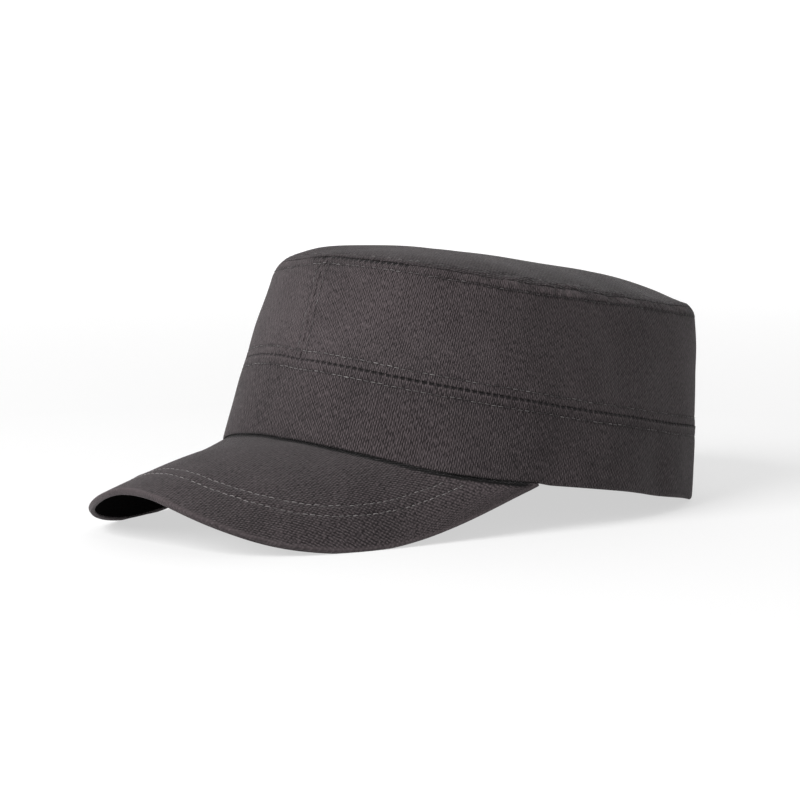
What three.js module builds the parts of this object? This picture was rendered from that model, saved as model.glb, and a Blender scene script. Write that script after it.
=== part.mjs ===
import * as THREE from 'three';

// A patrol cap standing on a surface, in millimetres.
// The front looks along -Y, the wearer's left is +X and up is +Z.
// The head part is worked out level, on its own rim, and then leaned back until it rests
// on the low points of the peak and on the back of the band.

// The head part, measured outside the cloth.
const BAND_LENGTH = 200;
const BAND_WIDTH = 166.4;
const TOP_LENGTH = 188.2;
const TOP_WIDTH = 135.6;
const TOP_SETBACK = 7.1;
const OVAL_POWER = 2.33;
const EGG_SHAPE = 0.03;
const BULGE_DEPTH = 0.9;

// Heights above the rim's level.
const CROWN_HEIGHT = 77;
const BAND_HEIGHT = 27;
const RIM_LIFT = 4.5;
const SHOULDER_RADIUS = 11.2;
const SHOULDER_TURN = 62;
const DOME_RISE = 9.5;
const DOME_POWER = 3.46;

// Cloth and seams.
const WALL_CLOTH = 2;
const TOP_CLOTH = 1.6;
const PEAK_CLOTH = 1.2;
const PIECE_GAP = 0.3;
const SEAM_DIP = 0.5;
const SEAM_WIDTH = 4;

// The peak: how far it reaches in front, how far round the head it goes, the length of
// the curve's pull at its ends and its middle, and how steeply it drops there.
const PEAK_REACH = 72.1;
const PEAK_HALF_ANGLE = 70.3;
const PEAK_END_PULL = 57.1;
const PEAK_FRONT_PULL = 68;
const PEAK_END_TURN = 12.7;
const PEAK_DROP_FRONT = 16.1;
const PEAK_DROP_END = 61.2;
const PEAK_DROP_POWER = 1.175;
const PEAK_CROWNING = 2.3;
const PEAK_ROOT_LENGTH = 7;
const PEAK_UNDER_INSET = 0.7;

// How deep the cloth's dents and folds go, and how far the resting hem is pressed flat.
const FOLD_DEPTH = 1.6;
const HEM_PRESS = 0.3;

// The wall's lines round the head, from the front (0) to the back (180).
// rim is a share of RIM_LIFT, seam of BAND_HEIGHT and edge of CROWN_HEIGHT.
// shoulder is a share of SHOULDER_RADIUS, and joint is how far round that rounded edge
// the seam of the top panel lies.
const WALL_LINES = [
  { angle: 0, rim: 1, seam: 1.319, edge: 1.022, shoulder: 1, joint: 0.57 },
  { angle: 15, rim: 0.69, seam: 1.274, edge: 1.019, shoulder: 0.99, joint: 0.54 },
  { angle: 30, rim: 0.2, seam: 1.204, edge: 1.014, shoulder: 0.955, joint: 0.5 },
  { angle: 45, rim: -0.35, seam: 1.137, edge: 1.006, shoulder: 0.91, joint: 0.46 },
  { angle: 60, rim: -0.53, seam: 1.085, edge: 0.997, shoulder: 0.85, joint: 0.41 },
  { angle: 75, rim: -0.44, seam: 1.033, edge: 0.99, shoulder: 0.78, joint: 0.4 },
  { angle: 90, rim: -0.44, seam: 0.993, edge: 0.986, shoulder: 0.72, joint: 0.45 },
  { angle: 105, rim: -0.62, seam: 0.967, edge: 0.985, shoulder: 0.66, joint: 0.47 },
  { angle: 120, rim: -0.72, seam: 0.959, edge: 0.987, shoulder: 0.62, joint: 0.44 },
  { angle: 135, rim: -0.89, seam: 0.963, edge: 0.992, shoulder: 0.59, joint: 0.44 },
  { angle: 150, rim: -0.55, seam: 0.974, edge: 0.997, shoulder: 0.57, joint: 0.45 },
  { angle: 165, rim: -0.25, seam: 0.985, edge: 1.001, shoulder: 0.565, joint: 0.45 },
  { angle: 180, rim: -0.14, seam: 0.989, edge: 1.003, shoulder: 0.56, joint: 0.45 },
];

// Dents (depth above 0) and soft ridges (below 0) of the wall, as shares of FOLD_DEPTH.
// angle and wide are degrees round the head, height and tall are shares of CROWN_HEIGHT,
// and lean is how many degrees the fold shifts over the whole height.
const WALL_FOLDS = [
  { angle: 38, wide: 11, height: 0.16, tall: 0.11, lean: -40, depth: 0.7 },
  { angle: 50, wide: 9, height: 0.66, tall: 0.12, lean: 30, depth: -0.5 },
  { angle: 74, wide: 5, height: 0.1, tall: 0.22, lean: 8, depth: 0.8 },
  { angle: 88, wide: 7, height: 0.12, tall: 0.2, lean: 0, depth: -0.4 },
  { angle: 93, wide: 15, height: 0.64, tall: 0.18, lean: 10, depth: 0.95 },
  { angle: 103, wide: 5, height: 0.1, tall: 0.2, lean: -6, depth: 0.7 },
  { angle: 122, wide: 6, height: 0.16, tall: 0.22, lean: 0, depth: 0.45 },
  { angle: 150, wide: 14, height: 0.6, tall: 0.2, lean: 0, depth: 0.5 },
  { angle: -20, wide: 10, height: 0.66, tall: 0.16, lean: 20, depth: 0.35 },
  { angle: -62, wide: 12, height: 0.6, tall: 0.17, lean: -15, depth: 0.8 },
  { angle: -80, wide: 6, height: 0.12, tall: 0.2, lean: 5, depth: 0.7 },
  { angle: -112, wide: 16, height: 0.62, tall: 0.18, lean: 0, depth: 0.8 },
  { angle: -140, wide: 8, height: 0.14, tall: 0.2, lean: 0, depth: 0.4 },
];

// Dents of the top panel: out is the share of the way from its middle to its edge.
const TOP_FOLDS = [
  { angle: 116, wide: 12, out: 0.86, long: 0.16, depth: 1 },
  { angle: 60, wide: 30, out: 0.62, long: 0.25, depth: 0.4 },
  { angle: -95, wide: 24, out: 0.7, long: 0.24, depth: 0.7 },
  { angle: 175, wide: 26, out: 0.74, long: 0.2, depth: 0.6 },
];

// How finely each piece is divided.
const RING_STEPS = 92;
const TOP_STEPS = 64;
const PEAK_STEPS = 42;

const DEG = Math.PI / 180;

function mix(a, b, t) {
  return a + (b - a) * t;
}

// A column of WALL_LINES at any angle, as a smooth curve through its rows, the same left
// and right of the cap.
function line(column, theta) {
  const last = WALL_LINES.length - 1;
  const turn = Math.abs(((theta / DEG + 540) % 360) - 180);
  const place = (turn / 180) * last;
  const row = Math.min(Math.floor(place), last - 1);
  const t = place - row;
  const at = (k) => WALL_LINES[k < 0 ? -k : k > last ? 2 * last - k : k][column];
  const [a, b, c, d] = [at(row - 1), at(row), at(row + 1), at(row + 2)];
  return b + 0.5 * t * (c - a + t * (2 * a - 5 * b + 4 * c - d + t * (3 * (b - c) + d - a)));
}

const rimHeight = (theta) => RIM_LIFT * line('rim', theta);
const seamHeight = (theta) => BAND_HEIGHT * line('seam', theta);
const edgeHeight = (theta) => CROWN_HEIGHT * line('edge', theta);
const shoulderRadius = (theta) => SHOULDER_RADIUS * line('shoulder', theta);

// The oval of the head at a share of the way up, slightly squarer than an ellipse.
function oval(theta, share) {
  const bulge = BULGE_DEPTH * 4 * share * (1 - share);
  const halfLength = mix(BAND_LENGTH, TOP_LENGTH, share) / 2 + bulge;
  const halfWidth = mix(BAND_WIDTH, TOP_WIDTH, share) / 2 + bulge;
  const power = (v) => Math.sign(v) * Math.abs(v) ** (2 / OVAL_POWER);
  const x = halfWidth * power(Math.sin(theta)) * (1 - EGG_SHAPE * Math.cos(theta));
  const y = TOP_SETBACK * share - halfLength * power(Math.cos(theta));
  return new THREE.Vector3(x, y, 0);
}

// A bell: 1 at its middle and close to 0 two widths away.
function bell(distance, width) {
  return Math.exp(-((distance / width) ** 2));
}

function angleBetween(theta, degrees) {
  return ((theta / DEG - degrees + 540) % 360) - 180;
}

function wallDent(theta, z) {
  let depth = 0;
  for (const fold of WALL_FOLDS) {
    const up = z / CROWN_HEIGHT - fold.height;
    const round = angleBetween(theta, fold.angle) - fold.lean * up;
    depth += FOLD_DEPTH * fold.depth * bell(round, fold.wide) * bell(up, fold.tall);
  }
  return depth + SEAM_DIP * bell(z - seamHeight(theta), SEAM_WIDTH);
}

function topDent(theta, out) {
  let depth = 0;
  for (const fold of TOP_FOLDS) {
    const round = angleBetween(theta, fold.angle);
    depth += FOLD_DEPTH * fold.depth * bell(round, fold.wide) * bell(out - fold.out, fold.long);
  }
  return depth;
}

// A point moved towards the upright axis of the head, in plan.
function drawIn(point, distance) {
  const inward = new THREE.Vector3(-point.x, TOP_SETBACK - point.y, 0).normalize();
  return point.addScaledVector(inward, distance);
}

// The outer face of the wall, at a length measured up from the rim: straight up to the
// shoulder, and then round it.
function wallPoint(theta, length) {
  const radius = shoulderRadius(theta);
  const start = edgeHeight(theta) - radius;
  const z = rimHeight(theta) + length;
  const bend = Math.max(0, (z - start) / radius);
  const height = bend > 0 ? start + radius * Math.sin(bend) : z;
  const point = oval(theta, height / edgeHeight(theta));
  point.z = height;
  const easing = bend > 0 ? Math.cos(Math.min(bend, Math.PI / 2)) : 1;
  return drawIn(point, radius * (1 - Math.cos(bend)) + wallDent(theta, height) * easing);
}

// Lengths up the wall at which the band and the top panel are sewn on.
const seamLength = (theta) => seamHeight(theta) - rimHeight(theta);
const shoulderLength = (theta) => edgeHeight(theta) - shoulderRadius(theta) - rimHeight(theta);
const jointBend = (theta) => (line('joint', theta) * Math.PI) / 2;
const jointLength = (theta) => shoulderLength(theta) + shoulderRadius(theta) * jointBend(theta);
const edgeLength = (theta) => shoulderLength(theta) + shoulderRadius(theta) * SHOULDER_TURN * DEG;

// The outer face of the top panel inside the shoulder, out being 1 at the shoulder and
// 0 in the middle.
function domePoint(theta, out) {
  const rim = wallPoint(theta, edgeLength(theta));
  const slope = (edgeHeight(Math.PI) - edgeHeight(0)) / TOP_LENGTH;
  const middle = CROWN_HEIGHT * line('edge', Math.PI / 2);
  const level = (y) => middle + slope * (y - TOP_SETBACK);
  const x = rim.x * out;
  const y = mix(TOP_SETBACK, rim.y, out);
  const rise = DOME_RISE * (1 - out ** DOME_POWER);
  const z = level(y) + (rim.z - level(rim.y)) * out ** 2 + rise - topDent(theta, out);
  return new THREE.Vector3(x, y, z);
}

// The face's outward direction, from two short steps across it.
function outward(face, u, v, stepU, stepV) {
  const du = face(u + stepU, v).sub(face(u - stepU, v));
  const dv = face(u, v + stepV).sub(face(u, v - stepV));
  return du.cross(dv).normalize();
}

function wallInner(theta, length, cloth) {
  const normal = outward(wallPoint, theta, length, 0.01, 0.05);
  return wallPoint(theta, length).addScaledVector(normal, -cloth);
}

function domeInner(theta, out, cloth) {
  const step = 0.02;
  const middle = out < 2 * step;
  const face = (a, b) => domePoint(a, 1 - b);
  const normal = middle
    ? new THREE.Vector3(0, 0, 1)
    : outward(face, theta, 1 - out, 0.02, step / 2);
  return domePoint(theta, out).addScaledVector(normal, -cloth);
}

// The rim's point that the peak is sewn to, s being -1 at its right end and 1 at its left.
function peakRoot(s) {
  return wallPoint(s * PEAK_HALF_ANGLE * DEG, 0);
}

// The outer edge of the peak in plan: one smooth curve from its end to its front.
function peakEdge(s) {
  const end = peakRoot(1);
  const front = new THREE.Vector3(0, -BAND_LENGTH / 2 - PEAK_REACH, 0);
  const turn = PEAK_END_TURN * DEG;
  const pull = new THREE.Vector3(-Math.sin(turn), -Math.cos(turn), 0);
  const curve = new THREE.CubicBezierCurve3(
    front,
    front.clone().add(new THREE.Vector3(PEAK_FRONT_PULL, 0, 0)),
    end.clone().addScaledVector(pull, PEAK_END_PULL),
    end,
  );
  const point = curve.getPoint(Math.abs(s));
  point.x *= Math.sign(s) || 1;
  return point;
}

// The upper face of the peak, across being 0 at the rim and 1 at the edge.
function peakFace(s, across) {
  const root = peakRoot(s);
  const edge = peakEdge(s);
  const reach = Math.hypot(edge.x - root.x, edge.y - root.y);
  const drop = mix(PEAK_DROP_FRONT, PEAK_DROP_END, Math.abs(s) ** PEAK_DROP_POWER) * DEG;
  const crowning = (PEAK_CROWNING * reach) / PEAK_REACH;
  const rise = crowning * 4 * across * (1 - across) - reach * across * Math.tan(drop);
  const x = mix(root.x, edge.x, across);
  const y = mix(root.y, edge.y, across);
  return new THREE.Vector3(x, y, root.z + rise - PIECE_GAP);
}

// A point down through the peak's cloth: square to its face, and turning upright towards
// the rim, where the peak goes in under the band.
function peakPoint(s, across, depth) {
  const sound = Math.sign(s) * Math.min(Math.abs(s), 0.97);
  const away = Math.min(Math.max(across, 0.05), 0.95);
  const normal = outward(peakFace, sound, away, 0.01, 0.02);
  normal.multiplyScalar(normal.z > 0 ? -1 : 1);
  const face = peakFace(s, across);
  const distance = face.distanceTo(peakFace(s, 0));
  const turned = mix(0.45, 1, Math.min(1, distance / PEAK_ROOT_LENGTH));
  const down = new THREE.Vector3(0, 0, -1).lerp(normal, turned).normalize();
  return face.addScaledVector(down, depth / Math.max(0.6, down.dot(normal)));
}

// The strip of the peak that lies under the hem of the band.
function peakTongue(s, depth) {
  const theta = s * PEAK_HALF_ANGLE * DEG;
  const point = wallInner(theta, 0, WALL_CLOTH);
  point.z -= PIECE_GAP + depth;
  return point;
}

// How far back the cap leans: the back of the rim and the lowest points of the peak's
// under layer then meet the same surface.
const UNDER_DEPTH = PEAK_CLOTH + PIECE_GAP;
const backHem = wallPoint(Math.PI, 0).setZ(0);

// How far across the peak a layer ends that stops short of the edge by an inset.
function layerEdge(s, inset) {
  const reach = peakEdge(s).distanceTo(peakRoot(s).setZ(0));
  return reach > 2 * inset ? 1 - inset / reach : 1;
}

function restingLean() {
  let slope = 0;
  for (let k = 0; k <= PEAK_STEPS; k += 1) {
    const s = k / PEAK_STEPS;
    const low = peakPoint(s, layerEdge(s, PEAK_UNDER_INSET), UNDER_DEPTH + PEAK_CLOTH);
    slope = Math.max(slope, (backHem.z - low.z - HEM_PRESS) / (backHem.y - low.y));
  }
  return Math.atan(slope);
}

const LEAN = restingLean();

// Leans a point back, and presses flat what would reach below the surface.
function settle(point) {
  const y = (point.y - backHem.y) * Math.cos(LEAN) + point.z * Math.sin(LEAN);
  const z = point.z * Math.cos(LEAN) - (point.y - backHem.y) * Math.sin(LEAN);
  return new THREE.Vector3(point.x, y, Math.max(z, 0));
}

// Gathers faces into one closed mesh. Points that coincide become one vertex, and faces
// that shrink to a line at a pointed end are left out.
class Solid {
  constructor() {
    this.vertices = [];
    this.index = new Map();
    this.faces = [];
  }

  vertex(point) {
    const key = [point.x, point.y, point.z].map((v) => Math.round(v * 500)).join(' ');
    if (!this.index.has(key)) {
      this.index.set(key, this.vertices.length);
      this.vertices.push(point);
    }
    return this.index.get(key);
  }

  triangle(a, b, c) {
    const corners = [a, b, c].map((point) => this.vertex(point));
    if (new Set(corners).size === 3) {
      this.faces.push(corners);
    }
  }

  quad(a, b, c, d) {
    const across = a.distanceTo(c) <= b.distanceTo(d);
    if (across) {
      this.triangle(a, b, c);
      this.triangle(a, c, d);
    } else {
      this.triangle(a, b, d);
      this.triangle(b, c, d);
    }
  }

  // rows of points: seen from outside, each row runs to the right and rows climb
  sheet(rows) {
    for (let r = 0; r + 1 < rows.length; r += 1) {
      for (let c = 0; c + 1 < rows[r].length; c += 1) {
        this.quad(rows[r][c], rows[r][c + 1], rows[r + 1][c + 1], rows[r + 1][c]);
      }
    }
  }

  // a face, its other side and the four edges between them
  wall(outer, inner) {
    this.sheet(outer);
    this.sheet(inner.map((row) => [...row].reverse()));
    const last = outer.length - 1;
    const end = outer[0].length - 1;
    this.sheet([inner[0], outer[0]]);
    this.sheet([outer[last], inner[last]]);
    this.sheet([outer.map((row) => row[0]), inner.map((row) => row[0])]);
    this.sheet([inner.map((row) => row[end]), outer.map((row) => row[end])]);
  }

  // a wall that closes on itself all the way round
  ring(outer, inner) {
    this.sheet(outer);
    this.sheet(inner.map((row) => [...row].reverse()));
    const last = outer.length - 1;
    this.sheet([inner[0], outer[0]]);
    if (inner[last][0].distanceTo(outer[last][0]) > 0 && outer[last][0].distanceTo(outer[last][1]) > 0) {
      this.sheet([outer[last], inner[last]]);
    }
  }

  mesh(name, colour) {
    const geometry = new THREE.BufferGeometry();
    const flat = this.vertices.flatMap((point) => point.toArray());
    geometry.setAttribute('position', new THREE.Float32BufferAttribute(flat, 3));
    geometry.setIndex(this.faces.flat());
    geometry.computeVertexNormals();
    const material = new THREE.MeshStandardMaterial({ color: colour, roughness: 0.95, metalness: 0 });
    const mesh = new THREE.Mesh(geometry, material);
    mesh.name = name;
    return mesh;
  }
}

function steps(count, from, to) {
  return Array.from({ length: count + 1 }, (_, k) => mix(from, to, k / count));
}

// Rows between two lengths up the wall, closer together near the seam line.
const BAND_ROWS = [0, 0.2, 0.42, 0.64, 0.82, 0.93, 1];
const SIDE_ROWS = [0, 0.05, 0.14, 0.3, 0.46, 0.62, 0.76, 0.86, 0.93, 1];

function wallRows(shares, angles, from, to, shift) {
  const place = (theta, share) => mix(from(theta), to(theta), share);
  const outer = shares.map((share) =>
    angles.map((theta) => shift(settle(wallPoint(theta, place(theta, share))))),
  );
  const inner = shares.map((share) =>
    angles.map((theta) => shift(settle(wallInner(theta, place(theta, share), WALL_CLOTH)))),
  );
  return [outer, inner];
}

function makeBand() {
  const solid = new Solid();
  const angles = steps(RING_STEPS, -Math.PI, Math.PI);
  const top = (theta) => seamLength(theta) - PIECE_GAP / 2;
  const [outer, inner] = wallRows(BAND_ROWS, angles, () => 0, top, (p) => p);
  solid.ring(outer, inner);
  return solid.mesh('band', 0x494545);
}

// One side panel of the crown, from the front seam to the back seam.
function makeSide(name, side) {
  const solid = new Solid();
  const ends = side > 0 ? [0, Math.PI] : [-Math.PI, 0];
  const angles = steps(RING_STEPS / 2, ...ends);
  const from = (theta) => seamLength(theta) + PIECE_GAP / 2;
  const to = (theta) => jointLength(theta) - PIECE_GAP / 2;
  const clear = (p) => p.setX(side * Math.max(side * p.x, PIECE_GAP / 2));
  const [outer, inner] = wallRows(SIDE_ROWS, angles, from, to, clear);
  solid.wall(outer, inner);
  return solid.mesh(name, 0x4b4747);
}

function makeTop() {
  const solid = new Solid();
  const angles = steps(TOP_STEPS, -Math.PI, Math.PI);
  const start = (theta) => jointLength(theta) + PIECE_GAP / 2;
  const round = [0, 0.5];
  const outs = [1, 0.93, 0.84, 0.7, 0.5, 0.26, 0];
  const outer = [
    ...round.map((t) => angles.map((a) => wallPoint(a, mix(start(a), edgeLength(a), t)))),
    ...outs.map((out) => angles.map((a) => domePoint(a, out))),
  ];
  const inner = [
    ...round.map((t) => angles.map((a) => wallInner(a, mix(start(a), edgeLength(a), t), TOP_CLOTH))),
    ...outs.map((out) => angles.map((a) => domeInner(a, out, TOP_CLOTH))),
  ];
  const place = (rows) => rows.map((row) => row.map(settle));
  solid.ring(place(outer), place(inner));
  return solid.mesh('crown_top', 0x484444);
}

// One layer of the peak, from its tongue under the band to its edge.
function makePeakLayer(name, top, inset, colour) {
  const solid = new Solid();
  const across = [0, 0.1, 0.25, 0.42, 0.6, 0.78, 0.9, 1];
  const along = steps(PEAK_STEPS, -1, 1);
  const place = (s, t, depth) => settle(peakPoint(s, t * layerEdge(s, inset), depth));
  const layer = (depth) => [
    ...[...across].reverse().map((t) => along.map((s) => place(s, t, depth))),
    along.map((s) => settle(peakTongue(s, depth))),
  ];
  solid.wall(layer(top), layer(top + PEAK_CLOTH));
  return solid.mesh(name, colour);
}

const pieces = [
  makeBand(),
  makeSide('crown_side_left', 1),
  makeSide('crown_side_right', -1),
  makeTop(),
  makePeakLayer('peak_upper', 0, 0, 0x4a4646),
  makePeakLayer('peak_under', UNDER_DEPTH, PEAK_UNDER_INSET, 0x2c2a2b),
];

// The origin is under the middle of the whole cap, on the surface that it stands on.
const cap = new THREE.Group();
const box = new THREE.Box3();
for (const piece of pieces) {
  piece.geometry.computeBoundingBox();
  box.union(piece.geometry.boundingBox);
}
const middle = box.getCenter(new THREE.Vector3());
for (const piece of pieces) {
  piece.geometry.translate(0, -middle.y, -box.min.z);
  cap.add(piece);
}
cap.name = 'patrol_cap';

export default cap;
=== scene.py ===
# %% [markdown]
# A patrol cap in dark cotton twill
#
# The cap is cut from flat pieces of cloth: a ring-shaped band, two side panels that meet in a
# seam at the front and at the back, an oval top, and a peak of two layers. Each piece could be
# sculpted by hand or simulated as cloth, but a stiff cap keeps the form it was pressed to. So
# every piece is worked out here as a surface, from the same sizes as the solid model, and the
# sewing, the puckers and the weave are laid on top of it.

import math

import bmesh
import bpy
import numpy as np
from mathutils import Matrix, Vector


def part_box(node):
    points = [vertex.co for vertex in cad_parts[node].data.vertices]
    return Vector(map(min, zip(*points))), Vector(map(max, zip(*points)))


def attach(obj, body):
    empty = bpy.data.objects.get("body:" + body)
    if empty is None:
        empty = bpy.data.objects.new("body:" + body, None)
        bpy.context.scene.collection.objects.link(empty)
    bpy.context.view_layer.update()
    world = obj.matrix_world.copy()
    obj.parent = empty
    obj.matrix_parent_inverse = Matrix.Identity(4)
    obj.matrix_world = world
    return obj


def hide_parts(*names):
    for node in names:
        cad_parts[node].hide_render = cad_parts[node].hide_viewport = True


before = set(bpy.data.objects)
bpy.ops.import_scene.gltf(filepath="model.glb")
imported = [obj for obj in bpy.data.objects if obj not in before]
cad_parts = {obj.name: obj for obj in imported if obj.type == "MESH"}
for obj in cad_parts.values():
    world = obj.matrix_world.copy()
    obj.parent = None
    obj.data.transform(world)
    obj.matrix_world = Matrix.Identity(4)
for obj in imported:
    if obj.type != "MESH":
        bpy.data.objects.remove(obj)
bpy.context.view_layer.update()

# %% [markdown]
# The sizes
#
# These are the sizes of the solid model, in millimetres and degrees. The head part is worked
# out level, with its rim on the ground and the front towards -Y, and leaned back at the end.

# %% Sizes of the head part and the peak
BAND_LENGTH, BAND_WIDTH = 200.0, 166.4
TOP_LENGTH, TOP_WIDTH, TOP_SETBACK = 188.2, 135.6, 7.1
OVAL_POWER, EGG_SHAPE, BULGE_DEPTH = 2.33, 0.03, 0.9
CROWN_HEIGHT, BAND_HEIGHT, RIM_LIFT = 77.0, 27.0, 4.5
SHOULDER_RADIUS, SHOULDER_TURN = 11.2, 62.0
DOME_RISE, DOME_POWER = 9.5, 3.46
WALL_CLOTH, TOP_CLOTH, PEAK_CLOTH, PIECE_GAP = 2.0, 1.6, 1.2, 0.3
SEAM_DIP, SEAM_WIDTH, FOLD_DEPTH = 0.5, 4.0, 1.6
PEAK_REACH, PEAK_HALF_ANGLE = 72.1, 70.3
PEAK_END_PULL, PEAK_FRONT_PULL, PEAK_END_TURN = 57.1, 68.0, 12.7
PEAK_DROP_FRONT, PEAK_DROP_END, PEAK_DROP_POWER = 16.1, 61.2, 1.175
PEAK_CROWNING, PEAK_ROOT_LENGTH = 2.3, 7.0
STITCH = 2.75
PEAK_DEPTH = 2 * PEAK_CLOTH + PIECE_GAP
print("cap", BAND_LENGTH, "mm long at the band,", BAND_WIDTH, "mm wide")

# %% [markdown]
# Lines round the head
#
# The rim, the seam over the band and the top edge all rise and fall a little on their way from
# the front (0 degrees) to the back (180). A short table gives their heights every 15 degrees,
# and a smooth curve through its rows gives the rest. On the wearer's right, near the front,
# the panels are sewn a few millimetres off from that, so those lines start to part there.

# %% The table of lines
LINES = {
    "rim": RIM_LIFT * np.array(
        [1, 0.69, 0.2, -0.35, -0.53, -0.44, -0.44, -0.62, -0.72, -0.89, -0.55, -0.25, -0.14]),
    "seam": BAND_HEIGHT * np.array(
        [1.319, 1.274, 1.204, 1.137, 1.085, 1.033, 0.993, 0.967, 0.959, 0.963, 0.974, 0.985, 0.989]),
    "edge": CROWN_HEIGHT * np.array(
        [1.022, 1.019, 1.014, 1.006, 0.997, 0.99, 0.986, 0.985, 0.987, 0.992, 0.997, 1.001, 1.003]),
    "shoulder": SHOULDER_RADIUS * np.array(
        [1, 0.99, 0.955, 0.91, 0.85, 0.78, 0.72, 0.66, 0.62, 0.59, 0.57, 0.565, 0.56]),
    "joint": np.array(
        [0.57, 0.54, 0.5, 0.46, 0.41, 0.4, 0.45, 0.47, 0.44, 0.44, 0.45, 0.45, 0.45]),
}
RIGHT_SHIFT = {"rim": 1.9, "seam": 2.9, "joint": -0.16}
SHIFT_GROWS, SHIFT_ENDS = 11, 100


def line(name, theta):
    """A column of the table at any angle: a Catmull-Rom curve through its rows, mirrored,
    plus a shift on the right that grows from the front seam and fades towards the side."""
    values = LINES[name]
    last = len(values) - 1
    place = np.abs((np.degrees(theta) + 180) % 360 - 180) / 180 * last
    row = np.clip(place.astype(int), 0, last - 1)
    t = place - row
    a, b, c, d = (values[last - np.abs(last - np.abs(row + k))] for k in (-1, 0, 1, 2))
    curve = b + 0.5 * t * (c - a + t * (2 * a - 5 * b + 4 * c - d + t * (3 * (b - c) + d - a)))
    right = np.clip(-np.degrees(theta), 0, SHIFT_ENDS)
    off = (1 - np.exp(-right / SHIFT_GROWS)) * (0.5 + 0.5 * np.cos(np.pi * right / SHIFT_ENDS))
    return curve + RIGHT_SHIFT.get(name, 0) * off


print("rim at the front", line("rim", np.array([0.0])), "seam", line("seam", np.array([0.0])))

# %% [markdown]
# The wall of the head
#
# Seen from above the head is an egg-shaped oval, a little squarer than an ellipse and smaller
# towards the top. Going up, the wall runs straight to the shoulder and then bends over it. The
# soft dents that the worn cloth keeps are bells: they push the wall in around one place. Each
# row of the table is one dent, and a negative depth makes a ridge.

# %% The wall and its dents
WALL_FOLDS = np.array([
    # angle, wide, height, tall, lean, depth
    [38, 11, 0.16, 0.11, -40, 0.7],
    [50, 9, 0.66, 0.12, 30, -0.5],
    [74, 5, 0.10, 0.22, 8, 0.8],
    [88, 7, 0.12, 0.20, 0, -0.4],
    [93, 15, 0.64, 0.18, 10, 0.95],
    [103, 5, 0.10, 0.20, -6, 0.7],
    [122, 6, 0.16, 0.22, 0, 0.45],
    [150, 14, 0.60, 0.20, 0, 0.5],
    [-20, 10, 0.66, 0.16, 20, 0.35],
    [-62, 12, 0.60, 0.17, -15, 0.8],
    [-80, 6, 0.12, 0.20, 5, 0.7],
    [-112, 16, 0.62, 0.18, 0, 0.8],
    [-140, 8, 0.14, 0.20, 0, 0.4],
])


def bell(distance, width):
    """1 in the middle and close to 0 two widths away: e to the minus (distance / width) squared."""
    return np.exp(-((distance / width) ** 2))


def oval(theta, share):
    """The head's outline at a share of its height: sine and cosine raised to 2 / OVAL_POWER."""
    bulge = BULGE_DEPTH * 4 * share * (1 - share)
    half_length = (BAND_LENGTH + (TOP_LENGTH - BAND_LENGTH) * share) / 2 + bulge
    half_width = (BAND_WIDTH + (TOP_WIDTH - BAND_WIDTH) * share) / 2 + bulge
    squarer = lambda v: np.sign(v) * np.abs(v) ** (2 / OVAL_POWER)
    x = half_width * squarer(np.sin(theta)) * (1 - EGG_SHAPE * np.cos(theta))
    y = TOP_SETBACK * share - half_length * squarer(np.cos(theta))
    return x, y


def wall_dent(theta, z):
    """How far the wall is pushed in: the sum of the table's bells, and a dip along the seam."""
    up = z[..., None] / CROWN_HEIGHT - WALL_FOLDS[:, 2]
    turn = (np.degrees(theta)[..., None] - WALL_FOLDS[:, 0] + 540) % 360 - 180
    depth = WALL_FOLDS[:, 5] * bell(turn - WALL_FOLDS[:, 4] * up, WALL_FOLDS[:, 1])
    depth = depth * bell(up, WALL_FOLDS[:, 3])
    return FOLD_DEPTH * depth.sum(-1) + SEAM_DIP * bell(z - line("seam", theta), SEAM_WIDTH)


def wall_face(theta, length):
    """The wall at a length up from the rim: straight to the shoulder, then round its arc."""
    theta, length = np.broadcast_arrays(theta, length)
    radius, edge = line("shoulder", theta), line("edge", theta)
    rim = line("rim", theta)
    bend = np.clip((rim + length - edge + radius) / radius, 0, math.pi / 2)
    z = np.where(bend > 0, edge - radius + radius * np.sin(bend), rim + length)
    x, y = oval(theta, z / edge)
    inward = radius * (1 - np.cos(bend)) + wall_dent(theta, z) * np.cos(bend)
    away = np.hypot(x, y - TOP_SETBACK)
    return np.stack([x - x / away * inward, y - (y - TOP_SETBACK) / away * inward, z], -1)


def seam_length(theta):
    """Length up the wall to the seam between band and crown."""
    return line("seam", theta) - line("rim", theta)


def shoulder_length(theta, turn):
    """Length up the wall to its shoulder, and round that by a turn in radians."""
    return line("edge", theta) - line("rim", theta) + line("shoulder", theta) * (turn - 1)


def joint_length(theta):
    """Length up the wall and round the shoulder to the seam of the top panel."""
    return shoulder_length(theta, line("joint", theta) * math.pi / 2)


def edge_length(theta):
    """Length up the wall and round the shoulder to where the domed top begins."""
    return shoulder_length(theta, math.radians(SHOULDER_TURN))


angles = np.radians(np.linspace(-180, 180, 721))
outline = wall_face(angles, 30 + 0 * angles)
around = np.concatenate([[0], np.cumsum(np.linalg.norm(np.diff(outline[:, :2], axis=0), axis=1))])
around -= around[-1] / 2
print("the wall measures", round(around[-1] * 2), "mm round")


def arc(theta):
    """Millimetres round the wall from the front, more than 0 on the wearer's left."""
    return np.interp(theta, angles, around)


# %% [markdown]
# The top panel
#
# Inside the shoulder the top rises like a very flat dome. It falls slowly in the middle and
# faster at the edge, as the edge is held up by the seam and the middle by its own tension.

# %% The dome of the top
TOP_FOLDS = np.array([
    # angle, wide, out, long, depth
    [116, 12, 0.86, 0.16, 1.0],
    [60, 30, 0.62, 0.25, 0.4],
    [-95, 24, 0.70, 0.24, 0.7],
    [175, 26, 0.74, 0.20, 0.6],
])


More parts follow.
